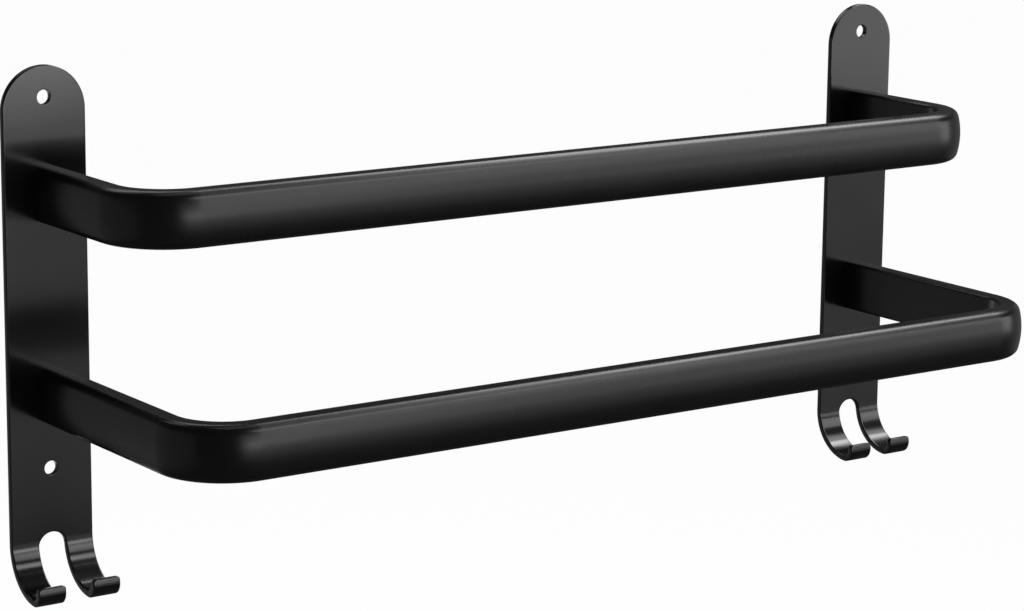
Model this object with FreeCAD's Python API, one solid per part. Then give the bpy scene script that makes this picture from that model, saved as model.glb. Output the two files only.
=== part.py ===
import FreeCAD, Part
import math
import os

# Double towel holder with hooks: two wall plates, two U-bent tubes and what joins them.
# Millimetres. The wall is the plane Y = 0 and the object stands out towards -Y.
# The origin is the middle of the four wall-screw holes, +Z is up and X runs along the bars.

# Wall-screw holes
hole_spacing_across = 468.0
hole_spacing_down = 166.0
hole_diameter = 6.5
hole_chamfer = 0.5

# Back plates
plate_width = 40.0
plate_thickness = 3.0
top_hole_margin = 14.0
edge_break = 0.6

# Twin hooks, stamped and bent from the lower end of each plate
hook_drop = 56.0
slot_width = 13.4
slot_height = 26.5
hook_bend_radius = 20.5
hook_bend_turn = 88.0
tip_bend_radius = 3.0
tip_bend_turn = 100.0
lip_length = 2.5
lip_corner_radius = 1.6

# Bars: a hollow section with a crowned outer face and a flat inner face
bar_height = 25.0
bar_depth = 12.0
bar_wall = 1.5
bar_crown_radius = 38.0
bar_front_corner = 4.5
bar_back_bevel = 1.0
smallest_bevel = 0.3
bar_bend_radius = 22.0
upper_bar_reach = 94.0
lower_bar_reach = 143.0
upper_bar_rise = 40.0
lower_bar_drop = 50.0

# End inserts, pressed into the open ends of the bars
insert_length = 16.0
insert_clearance = 0.1

# Countersunk socket screws, one in each bar end, driven through the plate from behind
screw_diameter = 5.0
screw_head_diameter = 9.4
screw_length = 15.0
screw_socket_sides = 6
screw_socket_width = 3.0
screw_socket_depth = 1.6
screw_recess = 0.2
screw_hole_clearance = 0.25
screw_fit_clearance = 0.05

# How far a cutting shape runs past what it cuts, and how near two lengths count as the same
overrun = 5.0
same_length = 0.05

# Angles in degrees
quarter_turn = 90.0
whole_turn = 360.0

# Places worked out from the sizes above
plate_x = hole_spacing_across / 2
top_hole_z = hole_spacing_down / 2
bottom_hole_z = -hole_spacing_down / 2
plate_top_z = top_hole_z + top_hole_margin
hook_bottom_z = bottom_hole_z - hook_drop
hook_outer_radius = hook_bend_radius + plate_thickness
tip_outer_radius = tip_bend_radius + plate_thickness
front_y = -plate_thickness

up = FreeCAD.Vector(0, 0, 1)
forward = FreeCAD.Vector(0, -1, 0)
origin = FreeCAD.Vector(0, 0, 0)
along = FreeCAD.Vector(1, 0, 0)


def around(centre, radius, turn):
    """Point of the hook's side view, turned from the wall side down and forward."""
    angle = math.radians(turn)
    return FreeCAD.Vector(0, centre.y + radius * math.cos(angle), centre.z - radius * math.sin(angle))


def arc(centre, radius, start, end):
    middle = (start + end) / 2
    points = [around(centre, radius, turn) for turn in (start, middle, end)]
    return Part.Arc(*points).toShape()


def line(start, end):
    return Part.LineSegment(start, end).toShape()


def mirrored(left):
    """The right-hand twin of a left-hand piece."""
    return left.mirror(origin, along)


# Hooked plate

def hook_side_view(x_start):
    """Side view of the plate: straight down from the top, round the bend, up into the lip."""
    lowest = math.radians(min(hook_bend_turn, quarter_turn))
    bend_drop = (hook_outer_radius - tip_outer_radius) * math.sin(lowest) + tip_outer_radius
    bend = FreeCAD.Vector(0, -hook_outer_radius, hook_bottom_z + bend_drop)
    tip = around(bend, hook_outer_radius - tip_outer_radius, hook_bend_turn)
    last = hook_bend_turn + tip_bend_turn
    lip_way = FreeCAD.Vector(0, -math.sin(math.radians(last)), -math.cos(math.radians(last)))
    outer_end = around(tip, tip_outer_radius, last)
    inner_end = around(tip, tip_bend_radius, last)
    back_top = FreeCAD.Vector(0, 0, plate_top_z)
    front_top = FreeCAD.Vector(0, front_y, plate_top_z)
    edges = [
        line(back_top, around(bend, hook_outer_radius, 0)),
        arc(bend, hook_outer_radius, 0, hook_bend_turn),
        arc(tip, tip_outer_radius, hook_bend_turn, last),
        line(outer_end, outer_end + lip_way * lip_length),
        line(outer_end + lip_way * lip_length, inner_end + lip_way * lip_length),
        line(inner_end + lip_way * lip_length, inner_end),
        arc(tip, tip_bend_radius, last, hook_bend_turn),
        arc(bend, hook_bend_radius, hook_bend_turn, 0),
        line(around(bend, hook_bend_radius, 0), front_top),
        line(front_top, back_top),
    ]
    wire = Part.Wire(edges)
    wire.translate(FreeCAD.Vector(x_start, 0, 0))
    return Part.Face(wire)


def plate_front_view():
    """Front view of the plate: round top, straight sides and the round-topped slot."""
    half = plate_width / 2
    slot = slot_width / 2
    low = hook_bottom_z - overrun
    shoulder = plate_top_z - half
    slot_shoulder = hook_bottom_z + slot_height - slot
    y = overrun

    def at(x, z):
        return FreeCAD.Vector(x, y, z)

    edges = [
        line(at(-half, low), at(-half, shoulder)),
        Part.Arc(at(-half, shoulder), at(0, plate_top_z), at(half, shoulder)).toShape(),
        line(at(half, shoulder), at(half, low)),
        line(at(half, low), at(slot, low)),
        line(at(slot, low), at(slot, slot_shoulder)),
        Part.Arc(at(slot, slot_shoulder), at(0, slot_shoulder + slot), at(-slot, slot_shoulder)).toShape(),
        line(at(-slot, slot_shoulder), at(-slot, low)),
        line(at(-slot, low), at(-half, low)),
    ]
    return Part.Face(Part.Wire(edges))


def lip_corner_edges(plate):
    """The short upright-to-level edges at the corners of each lip's end."""
    last = math.radians(hook_bend_turn + tip_bend_turn)
    across_strip = FreeCAD.Vector(0, math.cos(last), -math.sin(last))
    found = []
    for edge in plate.Edges:
        low_enough = edge.CenterOfMass.z < hook_bottom_z + slot_height
        short = abs(edge.Length - plate_thickness) < same_length
        if low_enough and short and edge.CenterOfMass.y < -hook_bend_radius:
            way = edge.tangentAt(edge.FirstParameter)
            if way.cross(across_strip).Length < same_length:
                found.append(edge)
    return found


def outline_edges(plate):
    """Every edge of the plate's front and back faces, without those across its thickness."""
    return [edge for edge in plate.Edges if abs(edge.Length - plate_thickness) > same_length]


def through_bore(radius, z):
    """Bore that runs right through the plate and past both faces."""
    return Part.makeCylinder(radius, plate_thickness + overrun * 2, FreeCAD.Vector(0, overrun, z), forward)


def wall_hole(z):
    radius = hole_diameter / 2
    wide = radius + hole_chamfer
    mouth_start = FreeCAD.Vector(0, front_y + hole_chamfer, z)
    mouth = Part.makeCone(radius, wide + hole_chamfer, hole_chamfer * 2, mouth_start, forward)
    return through_bore(radius, z).fuse(mouth)


def screw_seat(z):
    """Countersunk clearance hole for one bar screw, sunk in the plate's back."""
    bore_radius = screw_diameter / 2 + screw_hole_clearance
    wide = screw_head_diameter / 2 + screw_recess + screw_fit_clearance + overrun
    cone = Part.makeCone(wide, bore_radius, wide - bore_radius, FreeCAD.Vector(0, overrun, z), forward)
    return through_bore(bore_radius, z).fuse(cone)


def back_plate():
    strip = hook_side_view(-plate_width / 2).extrude(along * plate_width)
    reach = hook_outer_radius + tip_outer_radius + overrun * 2
    plate = strip.common(plate_front_view().extrude(forward * (reach + overrun)))
    plate = plate.makeFillet(lip_corner_radius, lip_corner_edges(plate))
    plate = plate.makeChamfer(edge_break, outline_edges(plate))
    holes = [wall_hole(z) for z in (top_hole_z, bottom_hole_z)]
    holes += [screw_seat(z) for z in (upper_bar_rise, -lower_bar_drop)]
    return plate.cut(holes)


# Bars

def bar_section(inset, corner_edge, x, y, z):
    """Section of a bar's left arm, seen along the arm: crowned on the left, flat on the right."""
    half_height = bar_height / 2 - inset
    half_depth = bar_depth / 2 - inset
    crown = bar_crown_radius - inset
    corner = bar_front_corner - inset
    bevel = max(bar_back_bevel - inset, smallest_bevel)
    crown_centre = half_depth - crown
    corner_z = half_height - corner
    corner_q = crown_centre + math.sqrt((crown - corner) ** 2 - corner_z ** 2)
    crown_end = math.atan2(corner_z, corner_q - crown_centre)
    level = math.radians(quarter_turn)

    def at(out, height):
        return FreeCAD.Vector(x - out, y, z + height)

    def on_corner(angle, side):
        return at(corner_q + corner * math.cos(angle), side * (corner_z + corner * math.sin(angle)))

    def corner_points(side):
        return [on_corner(angle, side) for angle in (crown_end, (crown_end + level) / 2, level)]

    back = [
        on_corner(level, 1),
        at(bevel - half_depth, half_height),
        at(-half_depth, half_height - bevel),
        at(-half_depth, bevel - half_height),
        at(bevel - half_depth, -half_height),
        on_corner(level, -1),
    ]
    edges = [Part.Arc(on_corner(crown_end, -1), at(half_depth, 0), on_corner(crown_end, 1)).toShape()]
    edges.append(corner_edge(*corner_points(1)))
    edges += [line(a, b) for a, b in zip(back, back[1:])]
    edges.append(corner_edge(*reversed(corner_points(-1))))
    return Part.Face(Part.Wire(edges))


def round_corner(start, middle, end):
    return Part.Arc(start, middle, end).toShape()


def straight_corner(start, middle, end):
    """Plain corner of the hollow and of what fills it."""
    return line(start, end)


def bent_bar(reach, z, inset, corner_edge):
    """Arm, bend and half of the long run on the left, mirrored to the right."""
    bend_x = -plate_x + bar_depth / 2 + bar_bend_radius
    bend_y = -(reach - bar_depth - bar_bend_radius)
    centre = FreeCAD.Vector(bend_x, bend_y, z)
    start = bar_section(inset, corner_edge, -plate_x, front_y, z)
    arm = start.extrude(FreeCAD.Vector(0, bend_y - front_y, 0))
    turning = bar_section(inset, corner_edge, -plate_x, bend_y, z)
    bend = turning.revolve(centre, up, quarter_turn)
    run_start = turning.copy()
    run_start.rotate(centre, up, quarter_turn)
    run = run_start.extrude(FreeCAD.Vector(-bend_x, 0, 0))
    left = arm.fuse([bend, run])
    return left.fuse(mirrored(left)).removeSplitter()


def towel_bar(reach, z):
    tube = bent_bar(reach, z, 0, round_corner)
    return tube.cut(bent_bar(reach, z, bar_wall, straight_corner)).Solids[0]


# End inserts and screws

def end_insert(z):
    """Plug that fills the end of a bar's left arm, with the bore for its screw."""
    section = bar_section(bar_wall + insert_clearance, straight_corner, -plate_x, front_y, z)
    body = section.extrude(forward * insert_length)
    radius = screw_diameter / 2 + screw_fit_clearance
    bore_start = FreeCAD.Vector(-plate_x, front_y + overrun, z)
    bore = Part.makeCylinder(radius, insert_length + overrun * 2, bore_start, forward)
    return body.cut(bore)


def socket_prism():
    """Hexagon that the key fits, centred on the screw's axis."""
    corner = screw_socket_width / 2 / math.cos(math.pi / screw_socket_sides)
    points = []
    for step in range(screw_socket_sides + 1):
        angle = math.radians(whole_turn * step / screw_socket_sides)
        points.append(FreeCAD.Vector(corner * math.cos(angle), overrun, corner * math.sin(angle)))
    face = Part.Face(Part.makePolygon(points))
    return face.extrude(forward * (overrun + screw_recess + screw_socket_depth))


def bar_screw(z):
    """Countersunk screw of a left arm, its head just below the back of the plate."""
    head = screw_head_diameter / 2
    shank = screw_diameter / 2
    top = -screw_recess
    under_head = top - (head - shank)
    tip = top - screw_length
    outline = [(0, top), (head, top), (shank, under_head), (shank, tip), (0, tip), (0, top)]
    profile = Part.makePolygon([FreeCAD.Vector(r, y, 0) for r, y in outline])
    screw = Part.Face(profile).revolve(origin, forward, whole_turn)
    screw = screw.cut(socket_prism())
    screw.translate(FreeCAD.Vector(-plate_x, 0, z))
    return screw


# Assembly

def write_node(name, shape):
    shape.exportStep("parts/" + name + ".step")
    state = "valid" if shape.isValid() else "NOT VALID"
    print(name, len(shape.Solids), "solids", round(shape.Volume, 1), "mm3", state)


os.makedirs("parts", exist_ok=True)
left_plate = back_plate()
left_plate.translate(along * -plate_x)
write_node("left_back_plate", left_plate)
write_node("right_back_plate", mirrored(left_plate))

bars = {"upper": (upper_bar_reach, upper_bar_rise), "lower": (lower_bar_reach, -lower_bar_drop)}
for bar_name, (reach, z) in bars.items():
    left_insert = end_insert(z)
    left_screw = bar_screw(z)
    write_node(bar_name + "_bar", towel_bar(reach, z))
    write_node(bar_name + "_left_insert", left_insert)
    write_node(bar_name + "_right_insert", mirrored(left_insert))
    write_node(bar_name + "_bar_screws", Part.makeCompound([left_screw, mirrored(left_screw)]))
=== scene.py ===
"""Looks of the two-arm towel holder: coated plates and tubes, plated screws, plugs and studio."""

import logging
import math
from dataclasses import dataclass, field
from enum import Enum

import bmesh
import bpy
from mathutils import Matrix, Vector
from mathutils.geometry import delaunay_2d_cdt


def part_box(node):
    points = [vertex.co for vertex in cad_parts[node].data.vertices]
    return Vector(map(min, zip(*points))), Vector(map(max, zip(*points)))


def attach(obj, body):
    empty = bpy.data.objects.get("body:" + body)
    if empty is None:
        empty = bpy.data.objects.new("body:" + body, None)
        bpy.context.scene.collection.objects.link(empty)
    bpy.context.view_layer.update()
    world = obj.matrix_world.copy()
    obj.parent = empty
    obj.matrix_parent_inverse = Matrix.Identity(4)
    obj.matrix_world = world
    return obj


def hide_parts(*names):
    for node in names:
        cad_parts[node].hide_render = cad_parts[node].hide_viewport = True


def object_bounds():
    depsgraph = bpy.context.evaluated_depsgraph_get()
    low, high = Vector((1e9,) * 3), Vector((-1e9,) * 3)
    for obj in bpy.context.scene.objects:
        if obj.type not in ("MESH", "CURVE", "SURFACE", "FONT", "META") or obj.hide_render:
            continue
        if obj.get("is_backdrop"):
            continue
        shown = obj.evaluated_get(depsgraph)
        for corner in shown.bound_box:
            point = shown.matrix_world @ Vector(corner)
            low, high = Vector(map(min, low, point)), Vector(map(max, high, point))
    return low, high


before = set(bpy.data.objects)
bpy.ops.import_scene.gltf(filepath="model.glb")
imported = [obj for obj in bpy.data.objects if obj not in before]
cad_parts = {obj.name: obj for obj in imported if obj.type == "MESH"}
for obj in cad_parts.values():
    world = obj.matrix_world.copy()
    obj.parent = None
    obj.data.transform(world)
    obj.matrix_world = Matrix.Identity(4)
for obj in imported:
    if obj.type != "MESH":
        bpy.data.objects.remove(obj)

MM = 0.001
BODY = "root"
IMAGE_WIDTH_PX = 1024
# Blender's wave texture turns through this angle along one unit at a scale of 1
WAVE_RADIANS = 20.0
# Nearly all of Blender's noise lies between these values
NOISE_LOW, NOISE_HIGH = 0.3, 0.7

log = logging.getLogger("towel_holder")


class Side(Enum):
    """The end of the holder that a piece belongs to."""

    LEFT = "left"
    RIGHT = "right"


def linear_colour(code: str) -> tuple[float, float, float, float]:
    """Turns an sRGB hex colour into the linear colour that a shader reads.

    Args:
        code: the colour as "#rrggbb".

    Returns:
        Linear red, green, blue and an alpha of 1.
    """
    channels = [int(code[i : i + 2], 16) / 255 for i in (1, 3, 5)]
    linear = [c / 12.92 if c <= 0.04045 else ((c + 0.055) / 1.055) ** 2.4 for c in channels]
    return linear[0], linear[1], linear[2], 1.0


def add_node(
    tree: bpy.types.NodeTree, kind: str, inputs: dict | None = None, **settings: object
) -> bpy.types.Node:
    """Adds a node, sets its properties, and links or fills its inputs.

    Args:
        tree: the shader or geometry tree that the node goes into.
        kind: Blender's name for the node's type.
        inputs: input name or number to a socket, which is linked, or a value, which is set.
        settings: properties of the node itself, such as operation="MULTIPLY".

    Returns:
        The new node.
    """
    node = tree.nodes.new(kind)
    for name, value in settings.items():
        setattr(node, name, value)
    for key, value in (inputs or {}).items():
        if isinstance(value, bpy.types.NodeSocket):
            tree.links.new(value, node.inputs[key])
        else:
            node.inputs[key].default_value = value
    return node


def new_material(name: str) -> tuple[bpy.types.Material, bpy.types.NodeTree]:
    """Makes an empty node material.

    Args:
        name: what the surface is and how it was made.

    Returns:
        The material and its cleared tree.
    """
    material = bpy.data.materials.new(name)
    material.use_nodes = True
    material.node_tree.nodes.clear()
    return material, material.node_tree


@dataclass(frozen=True)
class PowderCoat:
    """Black powder coat, baked until it flows: smooth and semi-gloss, with a faint orange peel."""

    name: str
    roughness: float
    specular: float
    colour: str = "#070708"
    roughness_drift: float = 0.02
    peel_width_mm: float = 1.8
    peel_depth_mm: float = 0.0025
    cloud_width_mm: float = 35.0

    def build(self) -> bpy.types.Material:
        """Builds the coat's nodes.

        Returns:
            The material: near black, with peel in its bump and drifting gloss.
        """
        material, tree = new_material(self.name)
        place = add_node(tree, "ShaderNodeTexCoord").outputs["Object"]
        # Orange peel: waves 1.5 to 2 mm long and a few thousandths of a millimetre deep, which only
        # soften the highlights' edges
        peel = add_node(
            tree,
            "ShaderNodeTexNoise",
            {
                "Vector": place,
                "Scale": 1 / (self.peel_width_mm * MM),
                "Detail": 1.0,
                "Roughness": 0.4,
            },
        )
        bump = add_node(
            tree,
            "ShaderNodeBump",
            {"Height": peel.outputs["Fac"], "Strength": 1.0, "Distance": self.peel_depth_mm * MM},
        )
        # Film thickness drifts over a few centimetres, so the gloss is never perfectly even
        cloud = add_node(
            tree,
            "ShaderNodeTexNoise",
            {"Vector": place, "Scale": 1 / (self.cloud_width_mm * MM), "Detail": 2.0},
        )
        gloss = add_node(
            tree,
            "ShaderNodeMapRange",
            {
                "Value": cloud.outputs["Fac"],
                "From Min": NOISE_LOW,
                "From Max": NOISE_HIGH,
                "To Min": self.roughness - self.roughness_drift,
                "To Max": self.roughness + self.roughness_drift,
            },
        )
        shader = add_node(
            tree,
            "ShaderNodeBsdfPrincipled",
            {
                "Base Color": linear_colour(self.colour),
                "Roughness": gloss.outputs["Result"],
                "Specular IOR Level": self.specular,
                "Normal": bump.outputs["Normal"],
            },
        )
        add_node(tree, "ShaderNodeOutputMaterial", {"Surface": shader.outputs["BSDF"]})
        return material


@dataclass(frozen=True)
class ZincPlate:
    """Bright zinc on cold-headed steel: pale blue-grey metal, slightly cloudy."""

    name: str = "zinc_plated_steel_screw"
    colour: str = "#b9bdc2"
    cloud_colour: str = "#9da2a8"
    roughness: float = 0.32
    cloud_width_mm: float = 2.5

    def build(self) -> bpy.types.Material:
        """Builds the plating's nodes.

        Returns:
            The material: metal whose tint is cloudy.
        """
        material, tree = new_material(self.name)
        place = add_node(tree, "ShaderNodeTexCoord").outputs["Object"]
        # Plating clouds two or three millimetres wide, from uneven current in the barrel
        cloud = add_node(
            tree,
            "ShaderNodeTexNoise",
            {"Vector": place, "Scale": 1 / (self.cloud_width_mm * MM), "Detail": 3.0},
        )
        tint = add_node(
            tree,
            "ShaderNodeMix",
            {
                "Factor": cloud.outputs["Fac"],
                "A": linear_colour(self.colour),
                "B": linear_colour(self.cloud_colour),
            },
            data_type="RGBA",
        )
        shader = add_node(
            tree,
            "ShaderNodeBsdfPrincipled",
            {"Base Color": tint.outputs["Result"], "Metallic": 1.0, "Roughness": self.roughness},
        )
        add_node(tree, "ShaderNodeOutputMaterial", {"Surface": shader.outputs["BSDF"]})
        return material


@dataclass(frozen=True)
class MachinedAluminium:
    """Bare aluminium plug, sawn from bar and drilled: pale metal with fine parallel tool marks."""

    name: str = "sawn_bare_aluminium"
    colour: str = "#c9c9ca"
    roughness: float = 0.38
    mark_spacing_mm: float = 1.2
    mark_depth_mm: float = 0.008

    def build(self) -> bpy.types.Material:
        """Builds the bare metal's nodes.

        Returns:
            The material: metal with saw marks in its bump.
        """
        material, tree = new_material(self.name)
        place = add_node(tree, "ShaderNodeTexCoord").outputs["Object"]
        # Saw marks, about 0.3 mm apart on a real plug and drawn coarser so that they show
        period = self.mark_spacing_mm * MM * WAVE_RADIANS / (2 * math.pi)
        marks = add_node(
            tree,
            "ShaderNodeTexWave",
            {"Vector": place, "Scale": 1 / period, "Distortion": 1.5, "Detail": 2.0},
            bands_direction="Z",
        )
        bump = add_node(
            tree,
            "ShaderNodeBump",
            {"Height": marks.outputs["Fac"], "Strength": 1.0, "Distance": self.mark_depth_mm * MM},
        )
        shader = add_node(
            tree,
            "ShaderNodeBsdfPrincipled",
            {
                "Base Color": linear_colour(self.colour),
                "Metallic": 1.0,
                "Roughness": self.roughness,
                "Normal": bump.outputs["Normal"],
            },
        )
        add_node(tree, "ShaderNodeOutputMaterial", {"Surface": shader.outputs["BSDF"]})
        return material


@dataclass(frozen=True)
class BacklitFloor:
    """White acrylic table lit from below: an even pale ground that takes hardly any shadow."""

    name: str = "backlit_white_acrylic_floor"
    colour: str = "#fdfdfd"
    glow: float = 0.99
    lit_colour: str = "#595959"

    def build(self) -> bpy.types.Material:
        """Builds the floor's nodes.

        Returns:
            The material: a glow with a little lit surface added.
        """
        material, tree = new_material(self.name)
        glow = add_node(
            tree, "ShaderNodeEmission", {"Color": linear_colour(self.colour), "Strength": self.glow}
        )
        face = add_node(tree, "ShaderNodeBsdfDiffuse", {"Color": linear_colour(self.lit_colour)})
        both = add_node(
            tree, "ShaderNodeAddShader", {0: glow.outputs["Emission"], 1: face.outputs["BSDF"]}
        )
        add_node(tree, "ShaderNodeOutputMaterial", {"Surface": both.outputs["Shader"]})
        return material


@dataclass(frozen=True)
class RimPoint:
    """A point of an outline on the flat strip, and the direction from it into the metal."""

    x: float
    s: float
    into_x: float
    into_s: float

    def inside(self, distance: float) -> tuple[float, float]:
        """Returns the point moved into the metal by a distance."""
        return self.x + distance * self.into_x, self.s + distance * self.into_s

    def mirrored(self) -> "RimPoint":
        """Returns the same point on the strip's other half."""
        return RimPoint(-self.x, self.s, -self.into_x, self.into_s)


def rim_arc(
    x: float, s: float, radius: float, start: float, end: float, steps: int, metal_inside: bool
) -> list[RimPoint]:
    """Points of an arc on the flat strip.

    Args:
        x: across the strip, of the arc's centre.
        s: down the strip, of the arc's centre.
        radius: the arc's radius.
        start: first angle in degrees, 0 to the right and 90 to the top.
        end: last angle in degrees.
        steps: how many chords the arc is cut into.
        metal_inside: whether the metal lies on the centre's side.

    Returns:
        The arc's points in order, both ends among them.
    """
    way = -1 if metal_inside else 1
    points = []
    for step in range(steps + 1):
        angle = math.radians(start + (end - start) * step / steps)
        across, upward = math.cos(angle), math.sin(angle)
        points.append(
            RimPoint(x + radius * across, s - radius * upward, way * across, -way * upward)
        )
    return points


@dataclass
class MeshDraft:
    """Vertices and faces of a piece while it is being put together."""

    vertices: list[Vector] = field(default_factory=list)
    faces: list[tuple[int, ...]] = field(default_factory=list)

    def ring(self, points: list[Vector]) -> list[int]:
        """Adds a row of vertices.

        Args:
            points: their places, in order.

        Returns:
            The vertices' numbers.
        """
        first = len(self.vertices)
        self.vertices.extend(points)
        return list(range(first, first + len(points)))

    def bridge(self, one: list[int], other: list[int]) -> None:
        """Joins two closed rings with quads.

        Args:
            one: vertex numbers of one ring.
            other: as many of the other.
        """
        for i in range(len(one)):
            j = (i + 1) % len(one)
            self.faces.append((one[i], one[j], other[j], other[i]))

    def rows(self, one: list[int], other: list[int]) -> None:
        """Joins two open chains of equal length with one wide quad a step."""
        for i in range(len(one) - 1):
            self.faces.append((one[i], other[i], other[i + 1], one[i + 1]))

    def finish(
        self, name: str, sharp_angle: float, material: bpy.types.Material
    ) -> bpy.types.Object:
        """Turns the draft into an object with outward faces and smooth shading.

        Args:
            name: the object's name.
            sharp_angle: edges that turn by more than this, in degrees, stay crisp.
            material: the finish of all faces.

        Returns:
            The new object, at the origin.
        """
        mesh = bpy.data.meshes.new(name)
        mesh.from_pydata([tuple(v) for v in self.vertices], [], self.faces)
        shell = bmesh.new()
        shell.from_mesh(mesh)
        bmesh.ops.recalc_face_normals(shell, faces=shell.faces)
        shell.to_mesh(mesh)
        shell.free()
        mesh.shade_smooth()
        mesh.set_sharp_from_angle(angle=math.radians(sharp_angle))
        mesh.materials.append(material)
        piece = bpy.data.objects.new(name, mesh)
        bpy.context.scene.collection.objects.link(piece)
        return piece


@dataclass
class HookedPlate:
    """Stamped back plate: round top, wall holes, screw seats, and a slotted end bent into hooks.

    It is drawn on the flat strip, x across and s down from the top, and then bent, as the press
    does it. Turns and angles are in degrees.
    """

    side: Side
    finish: bpy.types.Material
    thickness: float = 3.0 * MM
    hook_bend_radius: float = 20.5 * MM
    hook_bend_turn: float = 88.0
    tip_bend_radius: float = 3.0 * MM
    tip_bend_turn: float = 100.0
    lip_length: float = 2.5 * MM
    lip_corner_radius: float = 1.6 * MM
    slot_width: float = 13.4 * MM
    slot_height: float = 26.5 * MM
    wall_hole_heights: tuple[float, float] = (83.0 * MM, -83.0 * MM)
    wall_hole_radius: float = 3.25 * MM
    seat_heights: tuple[float, float] = (40.0 * MM, -50.0 * MM)
    seat_bore_radius: float = 2.75 * MM
    seat_mouth_radius: float = 4.95 * MM
    edge_radius: float = 0.6 * MM
    hole_edge_radius: float = 0.25 * MM
    flat_band: float = 0.25 * MM
    edge_steps: int = 5
    circle_steps: int = 64
    crown_steps: int = 72
    slot_side_steps: int = 6
    slot_top_steps: int = 24
    lip_corner_steps: int = 8
    hook_rows: int = 26
    tip_rows: int = 18
    lip_rows: int = 2
    sharp_angle: float = 35.0
    merge_distance: float = 1e-7

    def __post_init__(self) -> None:
        """Takes the plate's place and outer size from the CAD node."""
        self.node = self.side.value + "_back_plate"
        low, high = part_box(self.node)
        self.centre_x = (low.x + high.x) / 2
        self.half_width = (high.x - low.x) / 2
        self.top = high.z
        self.hook_bottom = low.z
        self.hook_outer = self.hook_bend_radius + self.thickness
        self.tip_outer = self.tip_bend_radius + self.thickness
        drop = math.sin(math.radians(self.hook_bend_turn))
        self.bend_z = self.hook_bottom + (self.hook_outer - self.tip_outer) * drop + self.tip_outer
        self.flat_length = self.top - self.bend_z
        self.hook_arc = (self.hook_outer - self.thickness / 2) * math.radians(self.hook_bend_turn)
        self.tip_arc = (self.tip_outer - self.thickness / 2) * math.radians(self.tip_bend_turn)
        self.strip_length = self.flat_length + self.hook_arc + self.tip_arc + self.lip_length
        self.slot_radius = self.slot_width / 2
        self.slot_shoulder = self.top - (self.hook_bottom + self.slot_height - self.slot_radius)

    def bent(self, x: float, s: float, depth: float) -> Vector:
        """Place of a point of the flat strip once the hooks are bent.

        Args:
            x: across the strip.
            s: down the strip, along its middle layer.
            depth: from the wall side towards the room.

        Returns:
            The point in the row frame.
        """
        if s <= self.flat_length:
            return Vector((self.centre_x + x, -depth, self.top - s))
        angle = min((s - self.flat_length) / self.hook_arc, 1) * math.radians(self.hook_bend_turn)
        if s <= self.flat_length + self.hook_arc:
            radius = self.hook_outer - depth
            return Vector(
                (
                    self.centre_x + x,
                    -self.hook_outer + radius * math.cos(angle),
                    self.bend_z - radius * math.sin(angle),
                )
            )
        offset = self.hook_outer - self.tip_outer
        centre_y = -self.hook_outer + offset * math.cos(angle)
        centre_z = self.bend_z - offset * math.sin(angle)
        past = s - self.flat_length - self.hook_arc
        turned = angle + min(past / self.tip_arc, 1) * math.radians(self.tip_bend_turn)
        radius = self.tip_outer - depth
        straight = max(past - self.tip_arc, 0)
        return Vector(
            (
                self.centre_x + x,
                centre_y + radius * math.cos(turned) - straight * math.sin(turned),
                centre_z - radius * math.sin(turned) - straight * math.cos(turned),
            )
        )

    def prong_levels(self) -> list[float]:
        """Rows of a prong, below the slot's shoulder.

        Returns:
            How far down the strip each row lies.
        """
        levels = []
        bend_end = self.flat_length + self.hook_arc
        tip_end = bend_end + self.tip_arc
        corner = self.strip_length - self.lip_corner_radius
        for start, end, rows in (
            (self.slot_shoulder, bend_end, self.hook_rows),
            (bend_end, tip_end, self.tip_rows),
            (tip_end, corner, self.lip_rows),
        ):
            levels += [start + (end - start) * (i + 1) / rows for i in range(rows)]
        return levels

    def outline(self) -> tuple[list[RimPoint], dict[str, list[int]]]:
        """The strip's outer edge as one loop.

        Returns:
            The loop's points, and the numbers of those that bound each part: the four prong sides
            from the bend down to the lip, and the flat part above the bend.
        """
        half, slot, corner = self.half_width, self.slot_radius, self.lip_corner_radius
        shoulder, lip = self.slot_shoulder, self.strip_length - corner
        bend_angle = math.degrees(math.asin((shoulder - self.flat_length) / slot))
        crown = rim_arc(0, half, half, 180, 0, self.crown_steps, True)
        slot_side = rim_arc(0, shoulder, slot, bend_angle, 0, self.slot_side_steps, False)
        slot_top = rim_arc(
            0, shoulder, slot, bend_angle, 180 - bend_angle, self.slot_top_steps, False
        )[1:-1]
        levels = self.prong_levels()
        outer = [RimPoint(half, point.s, -1, 0) for point in slot_side]
        outer += [RimPoint(half, s, -1, 0) for s in levels]
        outer += rim_arc(half - corner, lip, corner, 0, -90, self.lip_corner_steps, True)[1:]
        inner = slot_side + [RimPoint(slot, s, 1, 0) for s in levels]
        inner += rim_arc(slot + corner, lip, corner, -180, -90, self.lip_corner_steps, True)[1:]
        left_inner = [point.mirrored() for point in inner]
        left_outer = [point.mirrored() for point in outer]
        parts = {
            "crown": crown,
            "right_outer": outer,
            "right_inner": inner[::-1],
            "slot_top": slot_top,
            "left_inner": left_inner,
            "left_outer": left_outer[::-1],
        }
        loop: list[RimPoint] = []
        numbers: dict[str, list[int]] = {}
        for name, points in parts.items():
            numbers[name] = list(range(len(loop), len(loop) + len(points)))
            loop += points
        numbers["right_inner"].reverse()
        numbers["left_outer"].reverse()
        numbers["flat"] = (
            [numbers["left_outer"][0]]
            + numbers["crown"]
            + [numbers["right_outer"][0], numbers["right_inner"][0]]
            + numbers["slot_top"]
            + [numbers["left_inner"][0]]
        )
        return loop, numbers

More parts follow.
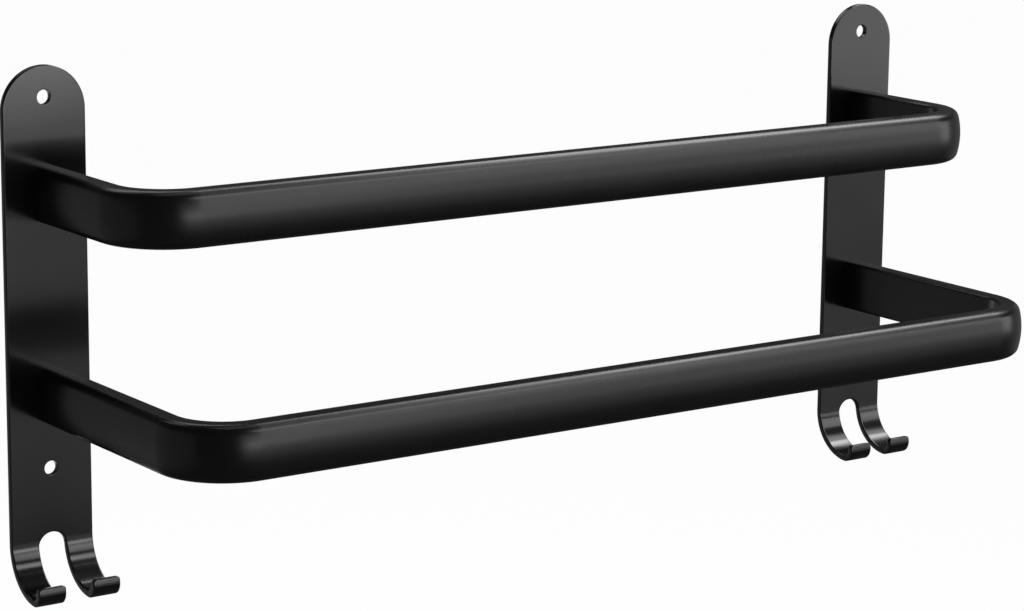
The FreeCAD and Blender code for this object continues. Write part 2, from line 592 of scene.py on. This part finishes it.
    def round_edge(self, radius: float) -> list[tuple[float, float]]:
        """Way across the thickness of an edge that is rounded on both sides.

        Args:
            radius: the rounding's radius.

        Returns:
            Pairs of distance into the metal and depth, from the room side to the wall side.
        """
        steps, thickness = self.edge_steps, self.thickness
        turns = [math.radians(90 * i / steps) for i in range(steps + 1)]
        room = [(radius * (1 - math.sin(a)), thickness - radius * (1 - math.cos(a))) for a in turns]
        wall = [(distance, thickness - depth) for distance, depth in reversed(room)]
        band = radius + self.flat_band
        return [(band, thickness), *room, *wall, (band, 0.0)]

    def seat_edge(self) -> list[tuple[float, float]]:
        """Way across the thickness of a countersunk screw seat.

        Returns:
            Pairs of distance into the metal and depth, as round_edge gives them.
        """
        flare = self.seat_mouth_radius - self.seat_bore_radius
        return [
            (self.flat_band, self.thickness),
            (0.0, self.thickness),
            (0.0, flare),
            (flare, 0.0),
            (flare + self.flat_band, 0.0),
        ]

    def edge_rings(
        self, draft: MeshDraft, loop: list[RimPoint], way: list[tuple[float, float]]
    ) -> tuple[list[int], list[int]]:
        """Builds the wall along one edge loop.

        Args:
            draft: the mesh to add to.
            loop: the edge's points.
            way: distance into the metal and depth of each ring.

        Returns:
            The first ring, on the room side, and the last, on the wall side.
        """
        rings = []
        for distance, depth in way:
            rings.append(draft.ring([self.bent(*point.inside(distance), depth) for point in loop]))
        for one, other in zip(rings, rings[1:]):
            draft.bridge(one, other)
        return rings[0], rings[-1]

    def skin(
        self, draft: MeshDraft, rings: list[list[int]], flats: list[list[tuple[float, float]]]
    ) -> None:
        """Fills the flat part of one face between its outline and its holes.

        Args:
            draft: the mesh to add to.
            rings: vertex numbers of the outline, which comes first, and of each round hole.
            flats: the same points on the flat strip.
        """
        numbers = [number for ring in rings for number in ring]
        owners = [owner for owner, ring in enumerate(rings) for _ in ring]
        places = [Vector(point) for ring in flats for point in ring]
        edges, first = [], 0
        for ring in rings:
            count = len(ring)
            edges += [(first + i, first + (i + 1) % count) for i in range(count)]
            first += count
        inside_only = 1
        result = delaunay_2d_cdt(places, edges, [], inside_only, self.merge_distance)
        triangles, origins = result[2], result[3]
        for triangle in triangles:
            corners = [origins[i][0] for i in triangle]
            # A triangle between three points of one round hole can only lie in the hole
            touched = {owners[corner] for corner in corners}
            if len(touched) > 1 or 0 in touched:
                draft.faces.append(tuple(numbers[corner] for corner in corners))

    def build(self) -> bpy.types.Object:
        """Builds the plate.

        Returns:
            The finished piece, which stands for its CAD node.
        """
        draft = MeshDraft()
        loop, part = self.outline()
        edge_way = self.round_edge(self.edge_radius)
        faces = self.edge_rings(draft, loop, edge_way)
        wall_hole_way = self.round_edge(self.hole_edge_radius)
        hole_kinds = [(z, self.wall_hole_radius, wall_hole_way) for z in self.wall_hole_heights]
        hole_kinds += [(z, self.seat_bore_radius, self.seat_edge()) for z in self.seat_heights]
        holes = []
        for z, radius, way in hole_kinds:
            circle = rim_arc(0, self.top - z, radius, 0, 360, self.circle_steps, False)[:-1]
            holes.append((circle, way, self.edge_rings(draft, circle, way)))
        # The room side, bounded by each edge's first ring, and then the wall side, by its last
        for face, way_end in ((0, 0), (1, -1)):
            rings = [[faces[face][i] for i in part["flat"]]]
            flats = [[loop[i].inside(edge_way[way_end][0]) for i in part["flat"]]]
            for circle, way, ends in holes:
                rings.append(ends[face])
                flats.append([point.inside(way[way_end][0]) for point in circle])
            self.skin(draft, rings, flats)
            for side in Side:
                outer = [faces[face][i] for i in part[side.value + "_outer"]]
                inner = [faces[face][i] for i in part[side.value + "_inner"]]
                draft.rows(outer, inner)
        piece = draft.finish(self.side.value + "_hooked_plate", self.sharp_angle, self.finish)
        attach(piece, BODY)
        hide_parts(self.node)
        return piece


class GroupInput(Enum):
    """Kinds of named input that a geometry tree takes."""

    GEOMETRY = "NodeSocketGeometry"
    LENGTH = "NodeSocketFloat"
    COUNT = "NodeSocketInt"
    MATERIAL = "NodeSocketMaterial"


def new_geometry_tree(
    name: str, inputs: dict[str, GroupInput]
) -> tuple[bpy.types.NodeTree, bpy.types.Node]:
    """Makes a geometry tree with named inputs.

    Args:
        name: what the tree makes.
        inputs: name to kind of each input; the geometry itself is always the first.

    Returns:
        The tree and its input node.
    """
    tree = bpy.data.node_groups.new(name, "GeometryNodeTree")
    tree.interface.new_socket("Geometry", in_out="INPUT", socket_type=GroupInput.GEOMETRY.value)
    for label, kind in inputs.items():
        tree.interface.new_socket(label, in_out="INPUT", socket_type=kind.value)
    tree.interface.new_socket("Geometry", in_out="OUTPUT", socket_type=GroupInput.GEOMETRY.value)
    return tree, tree.nodes.new("NodeGroupInput")


def grow(
    carrier: bpy.types.Object, tree: bpy.types.NodeTree, values: dict[str, object]
) -> None:
    """Puts a geometry tree on an object and fills its inputs before anything is evaluated.

    Args:
        carrier: the object whose mesh the tree starts from.
        tree: the geometry tree.
        values: input name to value.
    """
    modifier = carrier.modifiers.new(tree.name, "NODES")
    modifier.node_group = tree
    for item in tree.interface.items_tree:
        if item.item_type == "SOCKET" and item.in_out == "INPUT" and item.name in values:
            modifier[item.identifier] = values[item.name]


def settled(carrier: bpy.types.Object, name: str) -> bpy.types.Object:
    """Turns an object with live modifiers into a plain mesh object at the origin.

    Args:
        carrier: the object with its modifiers, which is removed.
        name: the new object's name.

    Returns:
        The plain object.
    """
    bpy.context.view_layer.update()
    graph = bpy.context.evaluated_depsgraph_get()
    mesh = bpy.data.meshes.new_from_object(carrier.evaluated_get(graph))
    mesh.name = name
    source = carrier.data
    bpy.data.objects.remove(carrier)
    bpy.data.meshes.remove(source)
    piece = bpy.data.objects.new(name, mesh)
    bpy.context.scene.collection.objects.link(piece)
    return piece


@dataclass
class TowelBar:
    """Flat-oval tube bent into a U: crowned outside, flat inside, its ends against the plates."""

    name: str
    finish: bpy.types.Material
    plate_front: float = -3.0 * MM
    depth: float = 12.0 * MM
    wall: float = 1.5 * MM
    crown_radius: float = 38.0 * MM
    front_corner: float = 4.5 * MM
    back_corner: float = 1.8 * MM
    bend_radius: float = 28.0 * MM
    bend_steps: int = 40
    corner_steps: int = 10
    crown_steps: int = 16
    least_gap: float = 0.01 * MM
    sharp_angle: float = 40.0

    def __post_init__(self) -> None:
        """Takes the bar's span, reach and height from the CAD node."""
        low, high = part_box(self.name)
        self.half_span = (high.x - low.x) / 2 - self.depth / 2
        self.run_y = low.y + self.depth / 2
        self.middle_z = (low.z + high.z) / 2
        self.half_height = (high.z - low.z) / 2

    def section(self) -> list[tuple[float, float]]:
        """Section of the tube, the crowned side towards +X.

        Returns:
            Pairs of distance outwards and upwards, in order round the section.
        """
        front, back = self.front_corner, self.back_corner
        crown_centre = self.depth / 2 - self.crown_radius
        corner_up = self.half_height - front
        corner_out = crown_centre + math.sqrt((self.crown_radius - front) ** 2 - corner_up**2)
        crown_end = math.degrees(math.atan2(corner_up, corner_out - crown_centre))
        back_out, back_up = back - self.depth / 2, self.half_height - back
        arcs = (
            (crown_centre, 0.0, self.crown_radius, -crown_end, crown_end, self.crown_steps),
            (corner_out, corner_up, front, crown_end, 90.0, self.corner_steps),
            (back_out, back_up, back, 90.0, 180.0, self.corner_steps),
            (back_out, -back_up, back, 180.0, 270.0, self.corner_steps),
            (corner_out, -corner_up, front, 270.0, 360.0 - crown_end, self.corner_steps),
        )
        points: list[tuple[float, float]] = []
        for out, up, radius, start, end, steps in arcs:
            for step in range(steps + 1):
                angle = math.radians(start + (end - start) * step / steps)
                point = (out + radius * math.cos(angle), up + radius * math.sin(angle))
                if not points or math.dist(point, points[-1]) > self.least_gap:
                    points.append(point)
        if math.dist(points[0], points[-1]) < self.least_gap:
            points.pop()
        return points

    def tree(self) -> bpy.types.NodeTree:
        """Geometry tree that sweeps the section along a U with rounded bends.

        Returns:
            The tree, with named inputs for the U's sizes.
        """
        tree, given = new_geometry_tree(
            "bent_tube",
            {
                "Half span": GroupInput.LENGTH,
                "Wall end": GroupInput.LENGTH,
                "Run": GroupInput.LENGTH,
                "Height": GroupInput.LENGTH,
                "Bend radius": GroupInput.LENGTH,
                "Bend steps": GroupInput.COUNT,
                "Finish": GroupInput.MATERIAL,
            },
        )
        sizes = given.outputs
        # The U's corners: 0 and 1 are on the left, 2 and 3 on the right, 1 and 2 away from the wall
        corner_count, middle, reach = 4, 1.5, 1.0
        index = add_node(tree, "GeometryNodeInputIndex").outputs["Index"]
        left = add_node(
            tree, "ShaderNodeMath", {0: sizes["Half span"], 1: -1.0}, operation="MULTIPLY"
        )
        on_right = add_node(tree, "ShaderNodeMath", {0: index, 1: middle}, operation="GREATER_THAN")
        across = add_node(
            tree,
            "GeometryNodeSwitch",
            {"Switch": on_right.outputs[0], "False": left.outputs[0], "True": sizes["Half span"]},
            input_type="FLOAT",
        )
        on_run = add_node(
            tree, "ShaderNodeMath", {0: index, 1: middle, 2: reach}, operation="COMPARE"
        )
        outward = add_node(
            tree,
            "GeometryNodeSwitch",
            {"Switch": on_run.outputs[0], "False": sizes["Wall end"], "True": sizes["Run"]},
            input_type="FLOAT",
        )
        place = add_node(
            tree,
            "ShaderNodeCombineXYZ",
            {"X": across.outputs["Output"], "Y": outward.outputs["Output"], "Z": sizes["Height"]},
        )
        corners = add_node(tree, "GeometryNodeMeshLine", {"Count": corner_count})
        placed = add_node(
            tree,
            "GeometryNodeSetPosition",
            {"Geometry": corners.outputs["Mesh"], "Position": place.outputs["Vector"]},
        )
        path = add_node(tree, "GeometryNodeMeshToCurve", {"Mesh": placed.outputs["Geometry"]})
        bends = add_node(
            tree,
            "GeometryNodeFilletCurve",
            {
                "Curve": path.outputs["Curve"],
                "Radius": sizes["Bend radius"],
                "Count": sizes["Bend steps"],
            },
            mode="POLY",
        )
        upright = add_node(
            tree, "GeometryNodeSetCurveNormal", {"Curve": bends.outputs["Curve"]}, mode="Z_UP"
        )
        profile = add_node(tree, "GeometryNodeMeshToCurve", {"Mesh": sizes["Geometry"]})
        skin = add_node(
            tree,
            "GeometryNodeCurveToMesh",
            {"Curve": upright.outputs["Curve"], "Profile Curve": profile.outputs["Curve"]},
        )
        real = add_node(tree, "GeometryNodeRealizeInstances", {"Geometry": skin.outputs["Mesh"]})
        coated = add_node(
            tree,
            "GeometryNodeSetMaterial",
            {"Geometry": real.outputs["Geometry"], "Material": sizes["Finish"]},
        )
        add_node(tree, "NodeGroupOutput", {"Geometry": coated.outputs["Geometry"]})
        return tree

    def build(self) -> bpy.types.Object:
        """Builds the tube.

        Returns:
            The finished piece, which stands for its CAD node.
        """
        points = self.section()
        count = len(points)
        edges = [(i, (i + 1) % count) for i in range(count)]
        outline = bpy.data.meshes.new(self.name + "_section")
        outline.from_pydata([(out, up, 0) for out, up in points], edges, [])
        carrier = bpy.data.objects.new(self.name + "_section", outline)
        bpy.context.scene.collection.objects.link(carrier)
        grow(
            carrier,
            self.tree(),
            {
                "Half span": self.half_span,
                "Wall end": self.plate_front,
                "Run": self.run_y,
                "Height": self.middle_z,
                "Bend radius": self.bend_radius,
                "Bend steps": self.bend_steps,
                "Finish": self.finish,
            },
        )
        hollow = carrier.modifiers.new("tube_wall", "SOLIDIFY")
        hollow.thickness = self.wall
        hollow.offset = -1
        piece = settled(carrier, self.name + "_tube")
        piece.data.shade_smooth()
        piece.data.set_sharp_from_angle(angle=math.radians(self.sharp_angle))
        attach(piece, BODY)
        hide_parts(self.name)
        return piece


@dataclass
class BarScrews:
    """The two countersunk socket screws of one bar, one behind each plate."""

    bar: str
    finish: bpy.types.Material
    head_radius: float = 4.7 * MM
    shank_radius: float = 2.5 * MM
    socket_width: float = 3.0 * MM
    socket_depth: float = 1.6 * MM
    socket_sides: int = 6
    socket_overrun: float = 0.1 * MM
    head_sides: int = 48
    edge_bevel: float = 0.12 * MM
    bevel_steps: int = 2
    bevel_angle: float = 40.0
    sharp_angle: float = 30.0
    flat_cosine: float = 0.999

    def __post_init__(self) -> None:
        """Takes the screws' places and length from the CAD node."""
        self.node = self.bar + "_screws"
        low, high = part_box(self.node)
        self.half_span = (high.x - low.x) / 2 - self.head_radius
        self.head_y = high.y
        self.length = high.y - low.y
        self.middle_z = (low.z + high.z) / 2

    def tree(self) -> bpy.types.NodeTree:
        """Geometry tree that makes one screw and repeats it at both ends of the bar.

        Returns:
            The tree, with named inputs for the screw's sizes and places.
        """
        tree, given = new_geometry_tree(
            "countersunk_screws",
            {
                "Head radius": GroupInput.LENGTH,
                "Shank radius": GroupInput.LENGTH,
                "Length": GroupInput.LENGTH,
                "Socket radius": GroupInput.LENGTH,
                "Socket depth": GroupInput.LENGTH,
                "Span": GroupInput.LENGTH,
                "Depth": GroupInput.LENGTH,
                "Height": GroupInput.LENGTH,
                "Finish": GroupInput.MATERIAL,
            },
        )
        sizes = given.outputs
        # The head's sides lean by 45 degrees, so its height is the difference of the radii
        head_height = add_node(
            tree,
            "ShaderNodeMath",
            {0: sizes["Head radius"], 1: sizes["Shank radius"]},
            operation="SUBTRACT",
        )
        shank_length = add_node(
            tree,
            "ShaderNodeMath",
            {0: sizes["Length"], 1: head_height.outputs[0]},
            operation="SUBTRACT",
        )
        head = add_node(
            tree,
            "GeometryNodeMeshCone",
            {
                "Vertices": self.head_sides,
                "Radius Top": sizes["Shank radius"],
                "Radius Bottom": sizes["Head radius"],
                "Depth": head_height.outputs[0],
            },
        )
        # The shank is drawn out of the cone's small end, so head and shank are one closed shell
        whole = add_node(
            tree,
            "GeometryNodeExtrudeMesh",
            {
                "Mesh": head.outputs["Mesh"],
                "Selection": head.outputs["Top"],
                "Offset Scale": shank_length.outputs[0],
            },
            mode="FACES",
        )
        socket = add_node(
            tree,
            "GeometryNodeMeshCone",
            {
                "Vertices": self.socket_sides,
                "Radius Top": sizes["Socket radius"],
                "Radius Bottom": sizes["Socket radius"],
                "Depth": sizes["Socket depth"],
            },
        )
        raised = add_node(
            tree,
            "GeometryNodeTransform",
            {
                "Geometry": socket.outputs["Mesh"],
                "Translation": (0.0, 0.0, -self.socket_overrun),
            },
        )
        screw = add_node(
            tree,
            "GeometryNodeMeshBoolean",
            {"Mesh 1": whole.outputs["Mesh"], "Mesh 2": raised.outputs["Geometry"]},
            operation="DIFFERENCE",
        )
        turned = add_node(
            tree,
            "GeometryNodeTransform",
            {"Geometry": screw.outputs["Mesh"], "Rotation": (math.radians(90), 0.0, 0.0)},
        )
        left = add_node(tree, "ShaderNodeMath", {0: sizes["Span"], 1: -0.5}, operation="MULTIPLY")
        start = add_node(
            tree,
            "ShaderNodeCombineXYZ",
            {"X": left.outputs[0], "Y": sizes["Depth"], "Z": sizes["Height"]},
        )
        step = add_node(tree, "ShaderNodeCombineXYZ", {"X": sizes["Span"]})
        ends = add_node(
            tree,
            "GeometryNodeMeshLine",
            {
                "Count": 2,
                "Start Location": start.outputs["Vector"],
                "Offset": step.outputs["Vector"],
            },
        )
        copies = add_node(
            tree,
            "GeometryNodeInstanceOnPoints",
            {"Points": ends.outputs["Mesh"], "Instance": turned.outputs["Geometry"]},
        )
        real = add_node(
            tree, "GeometryNodeRealizeInstances", {"Geometry": copies.outputs["Instances"]}
        )
        plated = add_node(
            tree,
            "GeometryNodeSetMaterial",
            {"Geometry": real.outputs["Geometry"], "Material": sizes["Finish"]},
        )
        add_node(tree, "NodeGroupOutput", {"Geometry": plated.outputs["Geometry"]})
        return tree

    def build(self) -> bpy.types.Object:
        """Builds both screws.

        Returns:
            The two as one piece, which stands for their CAD node.
        """
        start = self.node + "_start"
        carrier = bpy.data.objects.new(start, bpy.data.meshes.new(start))
        bpy.context.scene.collection.objects.link(carrier)
        grow(
            carrier,
            self.tree(),
            {
                "Head radius": self.head_radius,
                "Shank radius": self.shank_radius,
                "Length": self.length,
                "Socket radius": self.socket_width / 2 / math.cos(math.pi / self.socket_sides),
                "Socket depth": self.socket_depth + self.socket_overrun,
                "Span": self.half_span * 2,
                "Depth": self.head_y,
                "Height": self.middle_z,
                "Finish": self.finish,
            },
        )
        bevel = carrier.modifiers.new("worn_edges", "BEVEL")
        bevel.width = self.edge_bevel
        bevel.segments = self.bevel_steps
        bevel.limit_method = "ANGLE"
        bevel.angle_limit = math.radians(self.bevel_angle)
        piece = settled(carrier, self.node + "_plated")
        piece.data.shade_smooth()
        piece.data.set_sharp_from_angle(angle=math.radians(self.sharp_angle))
        # The head's face, the socket's floor and the shank's end are cut flat, square to the screw
        for polygon in piece.data.polygons:
            polygon.use_smooth = abs(polygon.normal.y) < self.flat_cosine
        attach(piece, BODY)
        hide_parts(self.node)
        return piece


@dataclass
class EndInserts:
    """The four plugs inside the tube ends, which keep their CAD shape and get their own metal."""

    finish: bpy.types.Material
    names: tuple[str, ...] = (
        "upper_left_insert",
        "upper_right_insert",
        "lower_left_insert",
        "lower_right_insert",
    )

    def build(self) -> list[bpy.types.Object]:
        """Gives the plugs their metal.

        Returns:
            The dressed CAD nodes.
        """
        plugs = [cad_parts[name] for name in self.names]
        for plug in plugs:
            plug.data.materials.clear()
            plug.data.materials.append(self.finish)
        return plugs


@dataclass
class PhotoCamera:
    """The photograph's viewpoint, fitted to the holder's edges, holes and bars.

    The picture is a third of a percent wider than the fit, which keeps the left plate clear of its
    border. Angles are in degrees.
    """

    yaw: float = 35.08
    pitch: float = 11.86
    roll: float = 0.59
    focal_length_px: float = 3163.0
    distance: float = 1525.9 * MM
    aim_z: float = -19.0 * MM
    aim_right: float = -13.9 * MM
    aim_up: float = 16.7 * MM
    sensor_width_mm: float = 36.0
    nearest: float = 0.05
    farthest: float = 100.0

    def build(self) -> bpy.types.Object:
        """Places the camera and makes it the scene's own.

        Returns:
            The camera's object.
        """
        yaw, pitch, roll = (math.radians(a) for a in (self.yaw, self.pitch, self.roll))
        level_forward = Vector((math.sin(yaw), math.cos(yaw), 0))
        forward = level_forward * math.cos(pitch) - Vector((0, 0, math.sin(pitch)))
        level_right = Vector((math.cos(yaw), -math.sin(yaw), 0))
        level_up = level_right.cross(forward)
        right = level_right * math.cos(roll) + level_up * math.sin(roll)
        up = level_up * math.cos(roll) - level_right * math.sin(roll)
        aim = Vector((0, 0, self.aim_z))
        data = bpy.data.cameras.new("photo_camera")
        data.sensor_width = self.sensor_width_mm
        data.lens = self.focal_length_px / IMAGE_WIDTH_PX * self.sensor_width_mm
        data.clip_start, data.clip_end = self.nearest, self.farthest
        camera = bpy.data.objects.new("photo_camera", data)
        place = aim - right * self.aim_right - up * self.aim_up - forward * self.distance
        facing = Matrix((right, up, -forward)).transposed()
        camera.matrix_world = Matrix.Translation(place) @ facing.to_4x4()
        bpy.context.scene.collection.objects.link(camera)
        bpy.context.scene.camera = camera
        return camera


@dataclass(frozen=True)
class Softbox:
    """A rectangular studio light that faces the holder.

    Its azimuth is 0 in front of the holder and 90 at its right end, in degrees, as its elevation
    is. Its sizes are in metres, and its brightness is that of its cloth.
    """

    name: str
    azimuth: float
    elevation: float
    width: float
    height: float
    brightness: float
    distance: float = 1.8

    def build(self, target: Vector) -> bpy.types.Object:
        """Places the light and turns it towards a point.

        Args:
            target: the point that it faces.

        Returns:
            The light's object.
        """
        turn, rise = math.radians(self.azimuth), math.radians(self.elevation)
        level_away = Vector((math.sin(turn), -math.cos(turn), 0))
        away = level_away * math.cos(rise) + Vector((0, 0, math.sin(rise)))
        data = bpy.data.lights.new(self.name, "AREA")
        data.shape = "RECTANGLE"
        data.size, data.size_y = self.width, self.height
        data.energy = self.brightness * math.pi * self.width * self.height
        light = bpy.data.objects.new(self.name, data)
        light.location = target + away * self.distance
        light.rotation_euler = (-away).to_track_quat("-Z", "Y").to_euler()
        light.visible_camera = False
        bpy.context.scene.collection.objects.link(light)
        return light


@dataclass
class Studio:
    """Pale floor, white surroundings and softboxes.

    The main lights stand ahead of the holder and to its right. Dim ones behind it, above it and at
    both ends keep its other sides readable.
    """

    ground: bpy.types.Material
    floor_drop: float = 900 * MM
    floor_size: float = 60.0
    backdrop_colour: str = "#ffffff"
    backdrop_glow: float = 0.99
    ambience: float = 0.06
    softboxes: tuple[Softbox, ...] = (
        Softbox("back_right_rim_light", 111.0, 50.0, 1.15, 0.62, 6.0),
        Softbox("upper_right_light", 72.0, 48.0, 1.25, 0.64, 3.0),
        Softbox("upper_front_light", 30.0, 33.0, 1.20, 0.48, 3.8),
        Softbox("right_front_strip", 36.0, 15.0, 1.15, 0.62, 2.4),
        Softbox("right_horizon_light", 62.0, 3.5, 0.64, 0.66, 2.6),
        Softbox("front_horizon_light", 8.0, 3.5, 1.40, 0.60, 0.8),
        Softbox("left_horizon_strip", 8.0, -2.0, 1.03, 0.22, 3.9),
        Softbox("right_horizon_strip", 40.0, -2.5, 0.80, 0.22, 1.8),
        Softbox("low_front_fill", 20.0, -14.0, 2.08, 0.36, 0.50),
        Softbox("overhead_light", 0.0, 88.0, 1.00, 0.60, 0.9),
        Softbox("rear_top_light", 180.0, 50.0, 1.20, 0.60, 2.0),
        Softbox("rear_fill", 180.0, -11.0, 1.25, 1.60, 0.8),
        Softbox("left_fill", -115.0, -8.0, 3.20, 1.40, 0.14),
        Softbox("right_fill", 98.0, -3.0, 1.60, 1.20, 0.16),
    )

    def floor(self, level: float) -> bpy.types.Object:
        """Makes the floor.

        Args:
            level: its height.

        Returns:
            The floor's object, which is staged and shows in no reflection.
        """
        half = self.floor_size / 2
        corners = ((-half, -half), (half, -half), (half, half), (-half, half))
        mesh = bpy.data.meshes.new("studio_floor")
        mesh.from_pydata([(x, y, level) for x, y in corners], [], [(0, 1, 2, 3)])
        mesh.materials.append(self.ground)
        floor = bpy.data.objects.new("studio_floor", mesh)
        floor.visible_glossy = False
        bpy.context.scene.collection.objects.link(floor)
        floor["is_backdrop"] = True
        return floor

    def surroundings(self) -> bpy.types.World:
        """Builds surroundings that look white and give only a dim, even light.

        Returns:
            The world.
        """
        world = bpy.data.worlds.new("studio_surroundings")
        world.use_nodes = True
        tree = world.node_tree
        tree.nodes.clear()
        white = linear_colour(self.backdrop_colour)
        dim = add_node(tree, "ShaderNodeBackground", {"Color": white, "Strength": self.ambience})
        pale = add_node(
            tree, "ShaderNodeBackground", {"Color": white, "Strength": self.backdrop_glow}
        )
        seen = add_node(tree, "ShaderNodeLightPath").outputs["Is Camera Ray"]
        both = add_node(
            tree,
            "ShaderNodeMixShader",
            {0: seen, 1: dim.outputs["Background"], 2: pale.outputs["Background"]},
        )
        add_node(tree, "ShaderNodeOutputWorld", {"Surface": both.outputs["Shader"]})
        return world

    def build(self) -> None:
        """Makes the floor, the world and the lights."""
        low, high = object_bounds()
        self.floor(low.z - self.floor_drop)
        bpy.context.scene.world = self.surroundings()
        bpy.context.scene.view_settings.view_transform = "Standard"
        for softbox in self.softboxes:
            softbox.build((low + high) / 2)


def main() -> None:
    """Builds the dressed holder, the studio and the camera."""
    logging.basicConfig(level=logging.INFO, format="%(name)s: %(message)s")
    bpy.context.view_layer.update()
    PhotoCamera().build()
    coat = "semi_gloss_black_powder_coat_on_"
    plate_coat = PowderCoat(coat + "plate", roughness=0.16, specular=0.62).build()
    tube_coat = PowderCoat(coat + "tube", roughness=0.28, specular=0.42).build()
    zinc = ZincPlate().build()
    pieces = [HookedPlate(side, plate_coat).build() for side in Side]
    for bar in ("upper_bar", "lower_bar"):
        pieces.append(TowelBar(bar, tube_coat).build())
        pieces.append(BarScrews(bar, zinc).build())
    pieces += EndInserts(MachinedAluminium().build()).build()
    for piece in pieces:
        log.info("%s: %d faces", piece.name, len(piece.data.polygons))
    Studio(BacklitFloor().build()).build()


if __name__ == "__main__":
    main()
